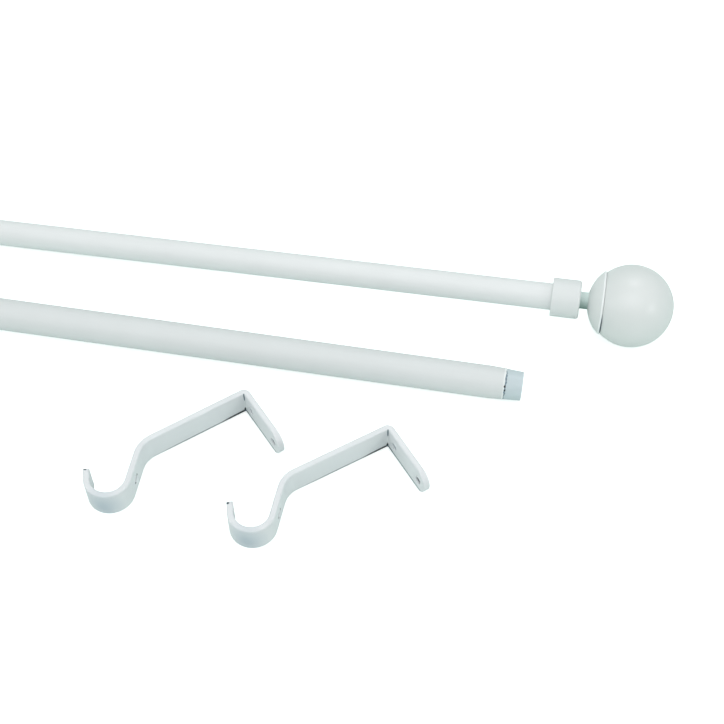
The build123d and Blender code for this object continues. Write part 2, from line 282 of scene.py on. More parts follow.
def rounded(corners, cut, turns=6):
    """Straight runs between corners, each inner corner a parabola that starts and ends
    the cut length away from it: (1-t)^2 start + 2t(1-t) corner + t^2 end."""
    corners = np.asarray(corners, float)
    share = np.linspace(0, 1, turns)[:, None]
    parts = [corners[:1]]
    for before, corner, after in zip(corners[:-2], corners[1:-1], corners[2:]):
        back, ahead = before - corner, after - corner
        start = corner + back * min(cut / np.linalg.norm(back), 0.45)
        end = corner + ahead * min(cut / np.linalg.norm(ahead), 0.45)
        parts.append((1 - share) ** 2 * start + 2 * share * (1 - share) * corner + share**2 * end)
    parts.append(corners[-1:])
    return np.concatenate(parts)


def round_arc(middle, radius, first, last, count):
    """Points of a circle centred on the axis, between two stations along it."""
    angles = np.linspace(acos((first - middle) / radius), acos((last - middle) / radius), count)
    return np.stack([middle + radius * np.cos(angles), radius * np.sin(angles)], 1)


def make_surface(name, grid, closed_rows, material, body, sharp=SHARP_ANGLE):
    """A mesh over a grid of spots: each cell is one face, the columns close on themselves,
    and the rows do too where the outline is a closed loop."""
    rows, columns = grid.shape[:2]
    number = np.arange(rows * columns).reshape(rows, columns)
    if closed_rows:
        number = np.vstack([number, number[:1]])
    here, aside = number[:-1], np.roll(number[:-1], -1, axis=1)
    below, across = number[1:], np.roll(number[1:], -1, axis=1)
    faces = np.stack([here, aside, across, below], -1).reshape(-1, 4)
    mesh = bpy.data.meshes.new(name)
    mesh.from_pydata(grid.reshape(-1, 3), [], faces)
    shell = bmesh.new()
    shell.from_mesh(mesh)
    bmesh.ops.remove_doubles(shell, verts=shell.verts, dist=MERGE_DISTANCE)
    bmesh.ops.recalc_face_normals(shell, faces=shell.faces)
    shell.to_mesh(mesh)
    shell.free()
    mesh.polygons.foreach_set("use_smooth", [True] * len(mesh.polygons))
    mesh.set_sharp_from_angle(angle=radians(sharp))
    mesh.materials.append(material)
    piece = bpy.data.objects.new(name, mesh)
    bpy.context.scene.collection.objects.link(piece)
    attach(piece, body)
    return piece


def turned(outline, place, steps=LATHE_STEPS):
    """A surface of revolution: each outline point (x, r) goes to
    x along + r cos(a) across + r sin(a) up, for every angle a round the axis."""
    angle = np.linspace(0, 2 * np.pi, steps, endpoint=False)
    x = np.repeat(outline[:, :1], steps, axis=1)
    r = outline[:, 1:2]
    return in_place(np.stack([x, r * np.cos(angle), r * np.sin(angle)], -1), place)


def wobble(angle, seed, waves, size):
    """A closed ragged line: a sum of sines of whole numbers of waves round the ring, each
    with its own phase, and weaker the finer it is, scaled so that its spread is the size."""
    rng = np.random.default_rng(seed)
    total = np.zeros_like(angle)
    for count in waves:
        total += np.sin(count * angle + rng.uniform(0, 2 * np.pi)) / count**0.6
    return size * total / total.std()


def set_camera():
    data = bpy.data.cameras.new("camera")
    data.sensor_width = SENSOR_WIDTH
    data.lens = FOCAL_PIXELS / PHOTO_WIDTH * SENSOR_WIDTH
    camera = bpy.data.objects.new("camera", data)
    bpy.context.scene.collection.objects.link(camera)
    place = Vector(CAMERA_PLACE)
    camera.location = place
    camera.rotation_euler = (Vector(CAMERA_LOOKS_AT) - place).to_track_quat("-Z", "Y").to_euler()
    bpy.context.scene.camera = camera


def background_share(tree):
    """1 for rays from the camera, which see the plain white background, else 0."""
    return tree.nodes.new("ShaderNodeLightPath").outputs["Is Camera Ray"]


def facing_share(tree, direction, towards):
    """How far a direction points the given way: 1 straight along it, -1 straight away."""
    facing = tree.nodes.new("ShaderNodeVectorMath")
    facing.operation = "DOT_PRODUCT"
    facing.inputs[1].default_value = towards
    tree.links.new(direction, facing.inputs[0])
    return facing.outputs["Value"]


def set_world():
    """A studio that is brightest high up on the camera's side, darker where it is open
    behind the camera, and plain white to look at."""
    world = bpy.data.worlds.new("studio")
    bpy.context.scene.world = world
    world.use_nodes = True
    tree = world.node_tree
    link = tree.links.new
    direction = tree.nodes.new("ShaderNodeTexCoord").outputs["Generated"]
    facing = facing_share(tree, direction, KEY_DIRECTION)
    level = tree.nodes.new("ShaderNodeMapRange")
    level.inputs["From Min"].default_value = -1
    level.inputs["To Min"].default_value = SKY_DIM
    level.inputs["To Max"].default_value = SKY_BRIGHT
    link(facing, level.inputs["Value"])
    opening = calculate(tree, "MAXIMUM", facing_share(tree, direction, DARK_SIDE), 0.0)
    lost = calculate(tree, "POWER", opening, DARK_SIDE_FALLOFF)
    kept = calculate(tree, "MULTIPLY_ADD", lost, -DARK_SIDE_DEPTH, 1.0)
    light = calculate(tree, "MULTIPLY", level.outputs["Result"], kept)
    tint = tree.nodes.new("ShaderNodeMapRange")
    tint.inputs["From Min"].default_value = -1
    link(facing, tint.inputs["Value"])
    colour = mix_colour(tree, tint.outputs["Result"], SKY_DIM_COLOUR, SKY_BRIGHT_COLOUR)
    share = background_share(tree)
    seen = mix_colour(tree, share, colour, WHITE)
    strength = tree.nodes.new("ShaderNodeMix")
    link(share, strength.inputs["Factor"])
    link(light, strength.inputs["A"])
    strength.inputs["B"].default_value = 1
    background = tree.nodes["Background"]
    link(seen, background.inputs["Color"])
    link(strength.outputs["Result"], background.inputs["Strength"])


def set_floor():
    """A pale matt floor that glows only for the camera, so it looks as white as the rest."""
    half = FLOOR_HALF
    mesh = bpy.data.meshes.new("floor")
    corners = [(-half, -half, 0), (half, -half, 0), (half, half, 0), (-half, half, 0)]
    mesh.from_pydata(corners, [], [(0, 1, 2, 3)])
    floor = bpy.data.objects.new("floor", mesh)
    bpy.context.scene.collection.objects.link(floor)
    material, tree, shader = new_material("floor")
    shader.inputs["Base Color"].default_value = (*FLOOR_COLOUR, 1)
    shader.inputs["Roughness"].default_value = FLOOR_ROUGHNESS
    shader.inputs["Specular IOR Level"].default_value = 0.0
    shader.inputs["Emission Color"].default_value = (*WHITE, 1)
    glow = calculate(tree, "MULTIPLY", background_share(tree), FLOOR_GLOW)
    tree.links.new(glow, shader.inputs["Emission Strength"])
    floor.data.materials.append(material)


def softbox(name, place, aim, size, power):
    data = bpy.data.lights.new(name, "AREA")
    data.shape = "RECTANGLE"
    data.size, data.size_y = size
    data.energy = power
    lamp = bpy.data.objects.new(name, data)
    bpy.context.scene.collection.objects.link(lamp)
    lamp.location = place
    lamp.rotation_euler = (Vector(aim) - Vector(place)).to_track_quat("-Z", "Y").to_euler()


def new_material(name):
    material = bpy.data.materials.new(name)
    material.use_nodes = True
    return material, material.node_tree, material.node_tree.nodes["Principled BSDF"]


def set_input(tree, socket, value):
    """Links a socket, or writes a number, three numbers or a colour into the input."""
    if isinstance(value, bpy.types.NodeSocket):
        tree.links.new(value, socket)
    elif socket.type == "RGBA":
        socket.default_value = (*value, 1)
    else:
        socket.default_value = value


def mix_colour(tree, share, first, second, way="MIX"):
    mix = tree.nodes.new("ShaderNodeMix")
    mix.data_type = "RGBA"
    mix.blend_type = way
    set_input(tree, mix.inputs["Factor"], share)
    set_input(tree, mix.inputs[6], first)
    set_input(tree, mix.inputs[7], second)
    return mix.outputs[2]


def calculate(tree, operation, first, second=0.0, third=0.0, clamp=False):
    node = tree.nodes.new("ShaderNodeMath")
    node.operation = operation
    node.use_clamp = clamp
    for socket, value in zip(node.inputs, (first, second, third)):
        set_input(tree, socket, value)
    return node.outputs[0]


def about_zero(tree, value):
    """Moves noise, whose middle is a half, so that it swings either side of zero."""
    return calculate(tree, "SUBTRACT", value, 0.5)


def tinted(colour, factor):
    """A colour made darker or lighter, and never lighter than white."""
    return tuple(min(1.0, part * factor) for part in colour)


def noise(tree, position, scale, detail, stretch=None):
    """Noise over a position in mm; the scale is in patches per mm."""
    if stretch:
        spread = tree.nodes.new("ShaderNodeVectorMath")
        spread.operation = "MULTIPLY"
        set_input(tree, spread.inputs[0], position)
        spread.inputs[1].default_value = stretch
        position = spread.outputs[0]
    node = tree.nodes.new("ShaderNodeTexNoise")
    node.inputs["Detail"].default_value = detail
    set_input(tree, node.inputs["Scale"], scale)
    set_input(tree, node.inputs["Vector"], position)
    return node.outputs["Fac"]


def new_group(name, inputs, outputs):
    """An empty shader group with the named inputs, each with its start value, and outputs."""
    group = bpy.data.node_groups.new(name, "ShaderNodeTree")
    add_socket = group.interface.new_socket
    for label, kind, value in inputs:
        socket = add_socket(label, in_out="INPUT", socket_type="NodeSocket" + kind)
        if value is not None:
            socket.default_value = value
    for label, kind in outputs:
        add_socket(label, in_out="OUTPUT", socket_type="NodeSocket" + kind)
    given = group.nodes.new("NodeGroupInput").outputs
    result = group.nodes.new("NodeGroupOutput").inputs
    return group, given, result


def paint_film_group():
    """Sprayed paint: broad thin and thick patches, drawn-out streaks along the piece, a fine
    orange peel, and a few nibs of dust under the film."""
    group, given, result = new_group(
        "paint_film",
        [("Position", "Vector", None), ("Colour", "Color", (0.8, 0.8, 0.8, 1)),
         ("Patches", "Float", 0.04), ("Streaks", "Float", 0.03),
         ("Roughness", "Float", PAINT_ROUGHNESS), ("Peel", "Float", 1.0)],
        [("Colour", "Color"), ("Roughness", "Float"), ("Height", "Float")],
    )
    position = given["Position"]
    patches = about_zero(group, noise(group, position, PATCH_SCALE, 3))
    streaks = about_zero(group, noise(group, position, STREAK_SCALE, 2, stretch=STREAK_STRETCH))
    peel = noise(group, position, PEEL_SCALE, 2)
    fine = noise(group, position, FINE_SCALE, 2)
    dust = calculate(group, "SUBTRACT", noise(group, position, DUST_SCALE, 0), DUST_LEVEL)
    nibs = calculate(group, "MULTIPLY", dust, DUST_STEEPNESS, clamp=True)
    shade = calculate(group, "MULTIPLY", patches, given["Patches"])
    lines = calculate(group, "MULTIPLY", streaks, given["Streaks"])
    level = calculate(group, "ADD", calculate(group, "ADD", shade, lines), 1.0)
    level = calculate(group, "SUBTRACT", level, calculate(group, "MULTIPLY", nibs, NIB_SHADE))
    spread = group.nodes.new("ShaderNodeCombineColor")
    for socket in spread.inputs[:3]:
        group.links.new(level, socket)
    colour = mix_colour(group, 1.0, given["Colour"], spread.outputs[0], "MULTIPLY")
    group.links.new(colour, result["Colour"])
    rough = calculate(group, "MULTIPLY_ADD", about_zero(group, fine), FINE_ROUGHNESS,
                      given["Roughness"])
    rough = calculate(group, "MULTIPLY_ADD", patches, PATCH_ROUGHNESS, rough)
    group.links.new(rough, result["Roughness"])
    height = calculate(group, "MULTIPLY", peel, given["Peel"])
    height = calculate(group, "MULTIPLY_ADD", fine, FINE_HEIGHT, height)
    height = calculate(group, "MULTIPLY_ADD", nibs, NIB_HEIGHT, height)
    group.links.new(height, result["Height"])
    return group


def edge_wear_and_highlight_group():
    """Where an edge is: how far the surface turns within the width, broken up by noise."""
    group, given, result = new_group(
        "edge_wear_and_highlight",
        [("Position", "Vector", None), ("Width", "Float", 0.6 * MM), ("Breakup", "Float", 0.5)],
        [("Mask", "Float")],
    )
    soft = group.nodes.new("ShaderNodeBevel")
    soft.samples = EDGE_SAMPLES
    group.links.new(given["Width"], soft.inputs["Radius"])
    flat = group.nodes.new("ShaderNodeNewGeometry")
    turn = group.nodes.new("ShaderNodeVectorMath")
    turn.operation = "DOT_PRODUCT"
    group.links.new(soft.outputs["Normal"], turn.inputs[0])
    group.links.new(flat.outputs["Normal"], turn.inputs[1])
    edge = calculate(group, "SUBTRACT", 1.0, turn.outputs["Value"])
    edge = calculate(group, "MULTIPLY", edge, EDGE_STEEPNESS, clamp=True)
    patchy = about_zero(group, noise(group, given["Position"], WEAR_SCALE, 3))
    patchy = calculate(group, "MULTIPLY_ADD", patchy, WEAR_CONTRAST, WEAR_SHARE, clamp=True)
    kept = calculate(group, "SUBTRACT", 1.0, given["Breakup"])
    share = calculate(group, "MULTIPLY_ADD", patchy, given["Breakup"], kept)
    group.links.new(calculate(group, "MULTIPLY", edge, share), result["Mask"])
    return group


def ragged_spot_group():
    """One ragged spot: 1 inside an ellipsoid about the centre, 0 outside, its edge moved
    in and out by noise."""
    group, given, result = new_group(
        "ragged_spot",
        [("Position", "Vector", None), ("Centre", "Vector", None), ("Reach", "Vector", (1, 1, 1)),
         ("Ragged", "Float", 0.8), ("Soft", "Float", 0.35)],
        [("Mask", "Float")],
    )
    offset = group.nodes.new("ShaderNodeVectorMath")
    offset.operation = "SUBTRACT"
    group.links.new(given["Position"], offset.inputs[0])
    group.links.new(given["Centre"], offset.inputs[1])
    scaled = group.nodes.new("ShaderNodeVectorMath")
    scaled.operation = "DIVIDE"
    group.links.new(offset.outputs[0], scaled.inputs[0])
    group.links.new(given["Reach"], scaled.inputs[1])
    far = group.nodes.new("ShaderNodeVectorMath")
    far.operation = "LENGTH"
    group.links.new(scaled.outputs[0], far.inputs[0])
    uneven = about_zero(group, noise(group, given["Position"], SPOT_SCALE, 3))
    distance = calculate(group, "MULTIPLY_ADD", uneven, given["Ragged"], far.outputs["Value"])
    inside = calculate(group, "SUBTRACT", 1.0, distance)
    inside = calculate(group, "DIVIDE", inside, given["Soft"])
    inside = calculate(group, "ADD", inside, 0.5, clamp=True)
    group.links.new(inside, result["Mask"])
    return group


def position_in(tree, place):
    """Object coordinates turned into mm in the piece's own frame."""
    origin, along, across, up = place
    where = tree.nodes.new("ShaderNodeTexCoord")
    mapping = tree.nodes.new("ShaderNodeMapping")
    mapping.vector_type = "TEXTURE"
    mapping.inputs["Location"].default_value = origin
    turn = Matrix((along, across, up)).transposed()
    mapping.inputs["Rotation"].default_value = turn.to_euler()
    mapping.inputs["Scale"].default_value = (MM, MM, MM)
    tree.links.new(where.outputs["Object"], mapping.inputs["Vector"])
    return mapping.outputs[0]


def use(tree, group, **values):
    """Puts a shader group into a material, with the named inputs set or linked."""
    node = tree.nodes.new("ShaderNodeGroup")
    node.node_tree = group
    for label, value in values.items():
        set_input(tree, node.inputs[label], value)
    return node.outputs


def spot_masks(tree, position, wear_and_light_spots):
    """The mask and the colour of each spot: a chip of wear, or a patch of painted shade or highlight.
    A spot is a centre and a reach in mm in the piece's frame, a colour, how ragged it is and how softly it fades."""
    for centre, reach, colour, ragged, soft in wear_and_light_spots:
        spot = use(tree, ragged_spot, Position=position, Centre=centre, Reach=reach, Ragged=ragged,
                   Soft=soft)
        yield spot["Mask"], colour


def add_bump(tree, shader, height, distance):
    """Relief from a height; the distance is in mm."""
    bump = tree.nodes.new("ShaderNodeBump")
    bump.inputs["Strength"].default_value = 1.0
    bump.inputs["Distance"].default_value = distance * MM
    tree.links.new(height, bump.inputs["Height"])
    tree.links.new(bump.outputs["Normal"], shader.inputs["Normal"])


def painted(name, colour, place, roughness=PAINT_ROUGHNESS, patches=0.04, streaks=0.03,
            wear_and_light_spots=(), edge_width=0.6, edge_gain=0.06, gloss=PAINT_GLOSS):
    """Paint film with edges that are smoother from wear and lighter as a painted highlight, and with
    spots of other colours: bare metal and pits, and painted shade and highlights."""
    material, tree, shader = new_material(name)
    position = position_in(tree, place)
    film = use(tree, paint_film, Position=position, Colour=colour, Patches=patches,
               Streaks=streaks, Roughness=roughness)
    shade, rough = film["Colour"], film["Roughness"]
    if edge_gain:
        edge = use(tree, edge_wear_and_highlight, Position=position, Width=edge_width * MM)["Mask"]
        # Edges lighter: a painted highlight; the smoother roughness below is wear
        worn_and_highlit_edge = tuple(min(1.0, part * (1 + edge_gain) + 0.01) for part in colour)
        shade = mix_colour(tree, edge, shade, worn_and_highlit_edge)
        rough = calculate(tree, "MULTIPLY_ADD", edge, EDGE_POLISH, rough)
    for mask, spot_colour in spot_masks(tree, position, wear_and_light_spots):
        shade = mix_colour(tree, mask, shade, spot_colour)
        rough = calculate(tree, "MULTIPLY_ADD", mask, SPOT_ROUGHNESS, rough)
    shader.inputs["Specular IOR Level"].default_value = gloss
    tree.links.new(shade, shader.inputs["Base Color"])
    tree.links.new(rough, shader.inputs["Roughness"])
    add_bump(tree, shader, film["Height"], PAINT_RELIEF)
    return material


def moulded(name, colour, place, roughness, line=0.05):
    """Moulded plastic: faint flow patches, a fine matt grain and a lengthwise parting line."""
    material, tree, shader = new_material(name)
    position = position_in(tree, place)
    flow = noise(tree, position, FLOW_SCALE, 3, stretch=FLOW_STRETCH)
    grain = noise(tree, position, GRAIN_SCALE, 3)
    edge = use(tree, edge_wear_and_highlight, Position=position, Width=MOULDED_EDGE_WIDTH * MM,
               Breakup=MOULDED_EDGE_BREAKUP)["Mask"]
    edge = calculate(tree, "MULTIPLY", edge, MOULDED_EDGE_SHARE)
    parts = tree.nodes.new("ShaderNodeSeparateXYZ")
    tree.links.new(position, parts.inputs[0])
    off_seam = calculate(tree, "ABSOLUTE", parts.outputs["Z"])
    off_seam = calculate(tree, "DIVIDE", off_seam, PARTING_HALF_WIDTH)
    seam = calculate(tree, "SUBTRACT", 1.0, off_seam, clamp=True)
    shade = mix_colour(tree, flow, tinted(colour, 0.93), tinted(colour, 1.08))
    # Edges lighter: a painted highlight along them
    shade = mix_colour(tree, edge, shade, tinted(colour, 1.25))
    shade = mix_colour(tree, calculate(tree, "MULTIPLY", seam, line), shade, tinted(colour, 0.5))
    tree.links.new(shade, shader.inputs["Base Color"])
    rough = about_zero(tree, grain)
    rough = calculate(tree, "MULTIPLY_ADD", rough, GRAIN_ROUGHNESS, roughness)
    tree.links.new(rough, shader.inputs["Roughness"])
    height = calculate(tree, "MULTIPLY_ADD", seam, PARTING_HEIGHT, grain)
    add_bump(tree, shader, height, MOULDED_RELIEF)
    return material


def plated(name, colour, place):
    """Zinc plate: cloudy passivation that is duller in patches, and turning marks round
    the axis."""
    material, tree, shader = new_material(name)
    position = position_in(tree, place)
    cloud = noise(tree, position, CLOUD_SCALE, 4)
    rings = noise(tree, position, TURNING_SCALE, 2, stretch=TURNING_STRETCH)
    shade = mix_colour(tree, cloud, tinted(colour, 0.75), tinted(colour, 1.2))
    tree.links.new(shade, shader.inputs["Base Color"])
    shader.inputs["Metallic"].default_value = 1.0
    rough = calculate(tree, "MULTIPLY_ADD", cloud, CLOUD_ROUGHNESS, ZINC_ROUGHNESS)
    tree.links.new(rough, shader.inputs["Roughness"])
    add_bump(tree, shader, rings, ZINC_RELIEF)
    return material


def cracked_gap(name, colour, place, wear_and_light_spots=()):
    """The gap between paint and ferrule: a dark band, darker and lighter in patches."""
    material, tree, shader = new_material(name)
    position = position_in(tree, place)
    gap_patches = about_zero(tree, noise(tree, position, GAP_PATCH_SCALE, 4))
    gap_patches = calculate(tree, "MULTIPLY_ADD", gap_patches, GAP_PATCH_CONTRAST, 0.5, clamp=True)
    shade = mix_colour(tree, gap_patches, tinted(colour, 0.45), tinted(colour, 1.9))
    for mask, spot_colour in spot_masks(tree, position, wear_and_light_spots):
        shade = mix_colour(tree, mask, shade, spot_colour)
    tree.links.new(shade, shader.inputs["Base Color"])
    rough = calculate(tree, "MULTIPLY_ADD", gap_patches, GAP_PATCH_ROUGHNESS, 0.5)
    tree.links.new(rough, shader.inputs["Roughness"])
    add_bump(tree, shader, gap_patches, GAP_PATCH_RELIEF)
    return material


def dress(node, material):
    mesh = frame["nodes"][node].data
    mesh.materials.clear()
    mesh.materials.append(material)


def ball_outline():
    """Outer sphere from its pole to the seam, the softened rim, then the hollow and the boss."""
    inside = BALL_RADIUS - BALL_WALL
    rim = sqrt(BALL_RADIUS**2 - BALL_SEAM**2)
    inner_rim = sqrt(inside**2 - BALL_SEAM**2)
    boss_root = sqrt(inside**2 - BOSS_RADIUS**2)
    outer = round_arc(0, BALL_RADIUS, BALL_RADIUS, BALL_SEAM + BALL_RIM_ROUND, 96)
    lip = rounded([outer[-1], (BALL_SEAM, rim), (BALL_SEAM, inner_rim)], BALL_RIM_ROUND)
    inner = round_arc(0, inside, BALL_SEAM, boss_root, 48)
    boss = [(boss_root, BOSS_RADIUS), (BOSS_END, BOSS_RADIUS), (BOSS_END, BOSS_BORE),
            (BOSS_BORE_END, BOSS_BORE), (BOSS_BORE_END, 0)]
    return np.concatenate([outer, lip[1:], inner[1:], boss[1:]])


def cap_outline():
    """The dome from its hole to near the seam, a soft bead that rounds over onto the face
    at the seam, and the lip inside."""
    middle = CAP_SEAM + sqrt(CAP_RADIUS**2 - CAP_RIM_RADIUS**2)
    inside = CAP_RADIUS - BALL_WALL
    hole = middle - sqrt(CAP_RADIUS**2 - CAP_HOLE**2)
    inner_hole = middle - sqrt(inside**2 - CAP_HOLE**2)
    root = middle - sqrt(inside**2 - CAP_LIP_INNER**2)
    face = BALL_SEAM - CAP_RIM_GAP
    dome = round_arc(middle, CAP_RADIUS, hole, CAP_SEAM - CAP_BEAD_START, 64)
    bead = rounded([dome[-1], (face, CAP_RIM_RADIUS + CAP_BEAD_RISE), (face, CAP_LIP_OUTER)],
                   CAP_RIM_BEAD, 12)
    lip = rounded([(face, CAP_LIP_OUTER), (CAP_LIP_END, CAP_LIP_OUTER),
                   (CAP_LIP_END, CAP_LIP_INNER), (root, CAP_LIP_INNER)], CAP_LIP_ROUND)
    inner = round_arc(middle, inside, root, inner_hole, 32)
    return np.concatenate([dome, bead[1:], lip[1:], inner[1:]])


def neck_outline():
    """A sleeve with a small cove of paint where it leaves the collar's face."""
    foot = COLLAR_FACE + NECK_FOOT
    cove = rounded([(foot, NECK_RADIUS + COVE_RISE), (COLLAR_FACE + COVE_CORNER, NECK_RADIUS),
                    (COLLAR_FACE + COVE_END, NECK_RADIUS)], COVE_ROUND, 8)
    rest = [(NECK_END, NECK_RADIUS), (NECK_END, NECK_BORE), (foot, NECK_BORE)]
    return np.concatenate([cove, rest])


def collar_outline():
    """The cup: a softly rounded face, a tighter round at the mouth, the bore and its floor."""
    face = rounded([(COLLAR_FLOOR, COLLAR_RADIUS), (COLLAR_FACE, COLLAR_RADIUS),
                    (COLLAR_FACE, NECK_BORE)], COLLAR_FACE_ROUND, 12)
    floor = [(COLLAR_FLOOR, NECK_BORE), (COLLAR_FLOOR, COLLAR_BORE)]
    mouth = rounded([(COLLAR_FLOOR, COLLAR_BORE), (COLLAR_MOUTH, COLLAR_BORE),
                     (COLLAR_MOUTH, COLLAR_RADIUS), (COLLAR_FLOOR, COLLAR_RADIUS)],
                    COLLAR_MOUTH_ROUND, 8)
    return np.concatenate([face, floor, mouth[1:-1]])


def ring_grid(x, r, angle, place):
    """Stations x and radii r round the axis, in place: (x, r cos(a), r sin(a))."""
    return in_place(np.stack([x, r * np.cos(angle), r * np.sin(angle)], -1), place)


def paint_lip(name, place, seed, material):
    """The paint's ragged end over the sawn edge: a thin band whose outer end is
    end + wobble(a), so that x = start + s (end + wobble - start), and r follows the crimp
    with the film's thickness and a lump toward the end, rounding over there."""
    angle = np.linspace(0, 2 * np.pi, 4 * LATHE_STEPS, endpoint=False)
    end = LIP_END + wobble(angle, seed, LIP_WAVES, LIP_WOBBLE)
    slope = (TUBE_RADIUS - TUBE_MOUTH_RADIUS) / TUBE_CRIMP
    share = np.concatenate([np.linspace(0, 1, LIP_ROWS), np.ones(CURL_ROWS)])[:, None]
    quarter = np.linspace(0, np.pi / 2, CURL_ROWS + 1)[1:]
    curl = np.concatenate([np.zeros(LIP_ROWS), quarter])[:, None]
    x = LIP_START + share * (end - LIP_START) + LIP_CURL_LENGTH * np.sin(curl)
    thick = LIP_FILM * np.clip(share * 4, 0.15, 1)
    uneven = 1 + wobble(angle, seed + 1, LIP_LUMP_WAVES, LIP_LUMP_WOBBLE)
    lump = LIP_LUMP * share**6 * uneven
    fall = LIP_CURL_DEPTH * (1 - np.cos(curl))
    r = TUBE_MOUTH_RADIUS - slope * np.minimum(x, 0) + thick + lump - fall
    back = (x[-1], np.full_like(angle, TUBE_MOUTH_RADIUS - LIP_BACK_DEPTH))
    root = TUBE_MOUTH_RADIUS - slope * LIP_START - LIP_ROOT_DEPTH
    inner_x = np.stack([back[0] - LIP_BACK_STEP, np.full_like(angle, LIP_START)], 0)
    inner_r = np.stack([back[1], np.full_like(angle, root)], 0)
    x = np.concatenate([x, inner_x])
    r = np.concatenate([r, inner_r])
    grid = ring_grid(x, r, angle, place)
    return make_surface(name, grid, True, material, "laid_out_kit")


def gap_ring(name, place, seed, material):
    """The dark line between paint and ferrule: a flat band on the ferrule's shoulder whose
    far edge wobbles, with its ends turned down into the surface."""
    angle = np.linspace(0, 2 * np.pi, 2 * LATHE_STEPS, endpoint=False)
    taper = (FERRULE_SHOULDER - FERRULE_TIP) / FERRULE_NOSE
    far = GAP_FAR + wobble(angle, seed, GAP_WAVES, GAP_WOBBLE)
    near = np.full_like(angle, GAP_NEAR)
    rows = [(near, GAP_SUNK), (near, GAP_EDGE), (near + 0.5 * (far - near), GAP_CROWN),
            (far - GAP_SHOULDER, GAP_EDGE), (far, GAP_SUNK)]
    x = np.stack([row for row, rise in rows])
    rise = np.array([rise for row, rise in rows])[:, None]
    r = FERRULE_SHOULDER - taper * np.maximum(x, 0) + rise
    grid = ring_grid(x, r, angle, place)
    return make_surface(name, grid, True, material, "laid_out_kit")


def hole_bead(name, spot, outward, radius, material):
    """Paint that has drawn back from a hole's edge into a low rounded bead: a half ellipse
    0.60 mm wide and 0.13 mm high, r = hole + 0.34 + 0.30 cos(t), h = 0.13 sin(t), with its
    foot sunk 0.08 mm, carried round the hole."""
    turn = np.linspace(0, np.pi, BEAD_ROWS)
    outline = np.stack([BEAD_HEIGHT * np.sin(turn),
                        radius + BEAD_MIDDLE + BEAD_HALF_WIDTH * np.cos(turn)], 1)
    foot = [(BEAD_FOOT, radius + edge) for edge in BEAD_FOOT_EDGES]
    outline = np.concatenate([outline, foot])
    grid = turned(outline, placed_frame(spot, outward), BEAD_STEPS)
    return make_surface(name, grid, True, material, "laid_out_kit",
                        sharp=BEAD_SHARP_ANGLE)


joints = {joint["name"]: joint for joint in frame["joints"]}
mounts = {mount["name"]: mount for mount in frame["record"]["mounts"]}
paint_film = paint_film_group()
edge_wear_and_highlight = edge_wear_and_highlight_group()
ragged_spot = ragged_spot_group()

bpy.context.scene.view_settings.view_transform = "Standard"
set_camera()
set_world()
set_floor()
for lamp in SOFTBOXES:
    softbox(*lamp)

# Frames of the centre tube's two mouths and of the two finials
axis = np.array(mounts["rod_mouth"]["axis"])
right_end = np.array(mounts["rod_mouth"]["pos_m"]) + SEAT_DEPTH * MM * axis
right_mouth = placed_frame(right_end, axis)
left_mouth = placed_frame(right_mouth[0] - TUBE_LENGTH * MM * axis, -axis)
rods = {}
for side in ("left", "right"):
    turn = joints[side + "_ball_turn"]
    rods[side] = placed_frame(turn["pos_m"], turn["axis"])

# Tubes; a chip is a centre, a reach, a colour, how ragged and how soft it is
mouth_chips = (
    ((0.50, -6.7, 6.2), (0.65, 0.8, 0.8), PIT, 0.5, 0.3),
    ((1.20, -7.9, 4.2), (0.85, 0.9, 0.9), PIT, 0.4, 0.3),
)
dress("centre_tube", painted("centre_tube_paint", CENTRE_TUBE_PAINT, right_mouth, edge_gain=0))
lip_paint = painted("mouth_lip_paint", LIP_PAINT, right_mouth, 0.35, wear_and_light_spots=mouth_chips)
gap = cracked_gap("mouth_gap", GAP_DARK, right_mouth, mouth_chips)
paint_lip("right_mouth_paint_lip", right_mouth, 5, lip_paint)
paint_lip("left_mouth_paint_lip", left_mouth, 9, lip_paint)
gap_ring("right_mouth_gap", right_mouth, 12, gap)
gap_ring("left_mouth_gap", left_mouth, 17, gap)
for side, mouth in (("left", left_mouth), ("right", right_mouth)):
    rod = rods[side]
    tube_paint = painted(side + "_tube_paint", THIN_TUBE_PAINT, rod, edge_gain=0)
    dress(side + "_ferrule", moulded(side + "_ferrule_plastic", FERRULE_PLASTIC, mouth, 0.35))
    dress(side + "_thin_tube", tube_paint)
    dress(side + "_tip_plug", moulded(side + "_plug_plastic", INNER_PLASTIC, rod, 0.5))
    dress(side + "_finial_shank", moulded(side + "_shank_plastic", INNER_PLASTIC, rod, 0.5))
    dress(side + "_finial_screw", plated(side + "_screw_zinc", ZINC, rod))

# Finials
# Painted shade on the lower front of the seam between cap and ball, on both pieces
seam_shade = ((BALL_SEAM, -19.0, -1.5), (0.38, 4.0, 9.5), DARK_PAINTED_SHADE, 0.3, 0.6)
# Painted highlight: a light line round the cap's rim
rim_shine = ((BALL_SEAM - 0.7, 0.0, 0.0), (0.55, 60.0, 60.0), RIM_SHINE, 0.0, 0.6)
